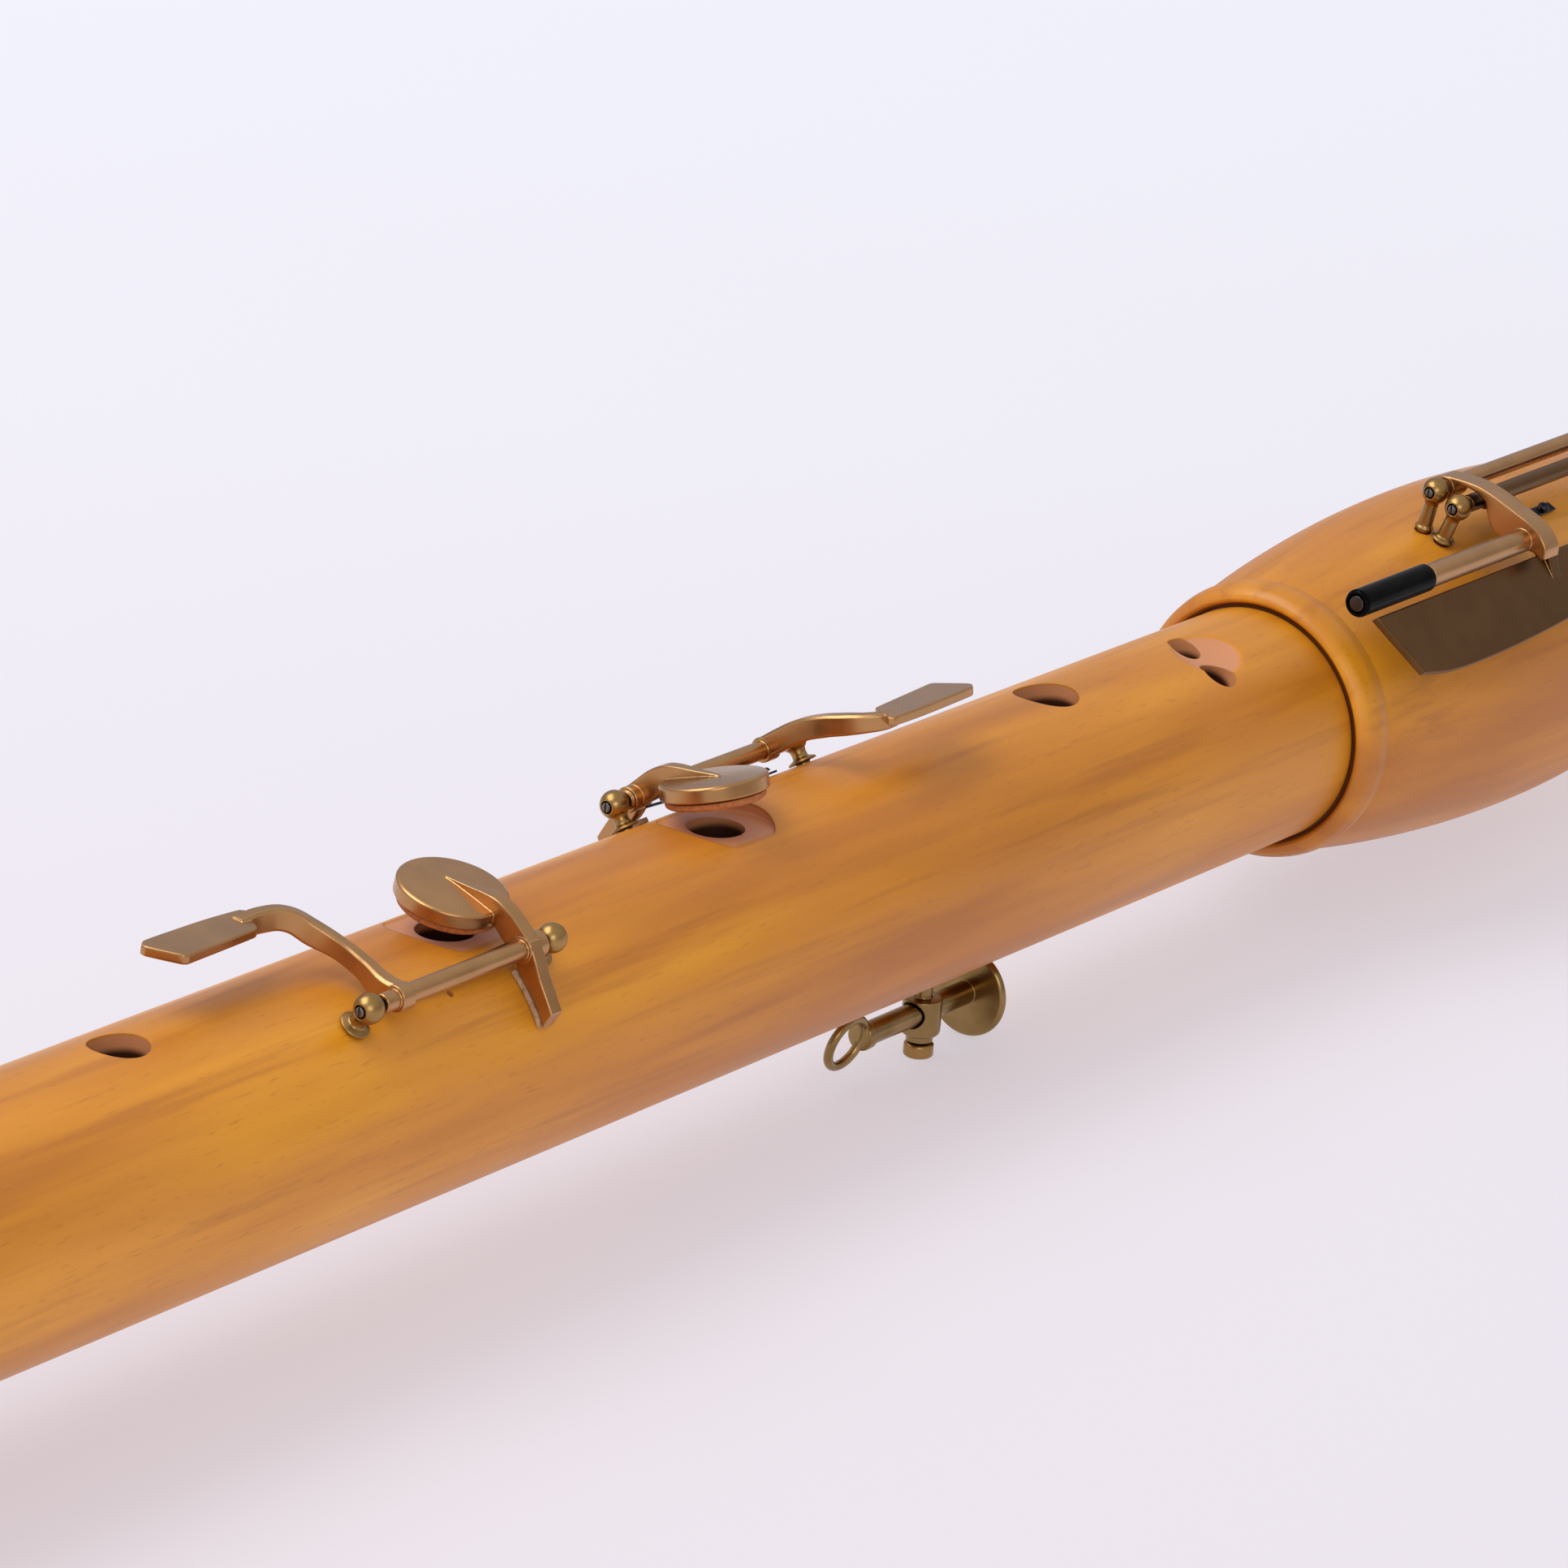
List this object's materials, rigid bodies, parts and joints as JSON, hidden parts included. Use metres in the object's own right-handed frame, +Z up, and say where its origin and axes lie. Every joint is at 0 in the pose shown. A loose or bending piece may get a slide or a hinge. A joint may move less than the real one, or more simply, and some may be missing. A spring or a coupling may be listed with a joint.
{
  "type": "bass recorder",
  "caption": "Wooden bass recorder with swelling joints, hinged keys over wide-set holes, a sliding thumb rest with a strap ring, and a bent blowing crook.",
  "frame": {"origin": "middle of the bounding box, at its lowest point", "axes": "+X from the cap to the foot, +Z up through the finger holes, -Y to the side of the little finger's keys"},
  "size_m": [1.0812, 0.1308, 0.0739],
  "materials": {
    "maple": "satin",
    "cedar": "matte",
    "cork": "matte",
    "bronze": "satin",
    "brass": "satin",
    "steel": "satin",
    "leather": "matte",
    "roller_black": "gloss"
  },
  "bodies": {
    "middle_joint": {"middle_joint": "maple", "upper_tenon_cork": "cork", "lower_tenon_cork": "cork", "thumb_rest_post": "brass", "key_3_touch_post": "brass", "key_3_cup_post": "brass", "key_3_hinge_rod": "steel", "key_3_spring": "steel", "key_3_spring_screw": "steel", "key_4_touch_post": "brass", "key_4_cup_post": "brass", "key_4_hinge_rod": "steel", "key_4_spring": "steel", "key_4_spring_screw": "steel"},
    "head_joint": {"head_joint": "maple", "fipple_block": "cedar", "cap_cork": "cork"},
    "cap": {"cap": "maple"},
    "crook": {"crook": "brass", "crook_cork": "cork"},
    "foot_joint": {"foot_joint": "maple", "roller_key_upper_post": "brass", "roller_key_lower_post": "brass", "roller_key_hinge_rod": "steel", "roller_key_spring": "steel", "roller_key_spring_screw": "steel", "plate_key_upper_post": "brass", "plate_key_lower_post": "brass", "plate_key_hinge_rod": "steel", "plate_key_spring": "steel", "plate_key_spring_screw": "steel"},
    "key_3": {"key_3_lever": "bronze", "key_3_pad": "leather", "key_3_stop_cork": "cork"},
    "key_4": {"key_4_lever": "bronze", "key_4_pad": "leather", "key_4_stop_cork": "cork"},
    "roller_key": {"roller_key_lever": "bronze", "roller_key_pad": "leather", "roller_key_stop_cork": "cork", "roller_pin": "steel"},
    "plate_key": {"plate_key_lever": "bronze", "plate_key_pad": "leather", "plate_key_stop_cork": "cork"},
    "roller": {"roller": "roller_black"},
    "thumb_rest": {"thumb_rest": "brass"},
    "lock_screw": {"thumb_rest_lock_screw": "brass"}
  },
  "joints": [
    {"name": "head_tuning_slide", "type": "slide", "parent": "middle_joint", "child": "head_joint", "axis": [-1, 0, 0], "range_m": [0, 0.012]},
    {"name": "cap_pull", "type": "slide", "parent": "head_joint", "child": "cap", "axis": [-1, 0, 0], "range_m": [0, 0.016]},
    {"name": "crook_swivel", "type": "hinge", "parent": "cap", "child": "crook", "pos_m": [-0.47837, -0.03255, 0.0361], "axis": [1, 0, 0], "continuous": true},
    {"name": "foot_twist", "type": "hinge", "parent": "middle_joint", "child": "foot_joint", "pos_m": [0.33663, -0.03255, 0.0361], "axis": [1, 0, 0], "range_deg": [-20, 20]},
    {"name": "key_3_hinge", "type": "hinge", "parent": "middle_joint", "child": "key_3", "pos_m": [0.08663, -0.04735, 0.05625], "axis": [-1, 0, 0], "range_deg": [0, 12.5], "stiffness_Nm_per_rad": 0.05, "springref_deg": -20.05, "deforming": ["key_3_spring"]},
    {"name": "key_4_hinge", "type": "hinge", "parent": "middle_joint", "child": "key_4", "pos_m": [0.18363, -0.01775, 0.05625], "axis": [1, 0, 0], "range_deg": [0, 15.1], "stiffness_Nm_per_rad": 0.05, "springref_deg": -20.05, "deforming": ["key_4_spring"]},
    {"name": "roller_key_hinge", "type": "hinge", "parent": "foot_joint", "child": "roller_key", "pos_m": [0.42163, -0.04003, 0.07162], "axis": [1, 0, 0], "range_deg": [0, 5.5], "stiffness_Nm_per_rad": 0.12, "springref_deg": -22.92, "deforming": ["roller_key_spring"]},
    {"name": "plate_key_hinge", "type": "hinge", "parent": "foot_joint", "child": "plate_key", "pos_m": [0.40163, -0.04494, 0.06979], "axis": [1, 0, 0], "range_deg": [0, 7.5], "stiffness_Nm_per_rad": 0.12, "springref_deg": -22.92, "deforming": ["plate_key_spring"]},
    {"name": "roller_spin", "type": "hinge", "parent": "roller_key", "child": "roller", "pos_m": [0.32513, -0.05655, 0.0661], "axis": [1, 0, 0], "continuous": true},
    {"name": "thumb_rest_slide", "type": "slide", "parent": "middle_joint", "child": "thumb_rest", "axis": [1, 0, 0], "range_m": [-0.008, 0.011]},
    {"name": "lock_screw_turn", "type": "hinge", "parent": "middle_joint", "child": "lock_screw", "pos_m": [0.22913, -0.03255, 0.0021], "axis": [0, 0, 1], "range_deg": [0, 360]}
  ]
}
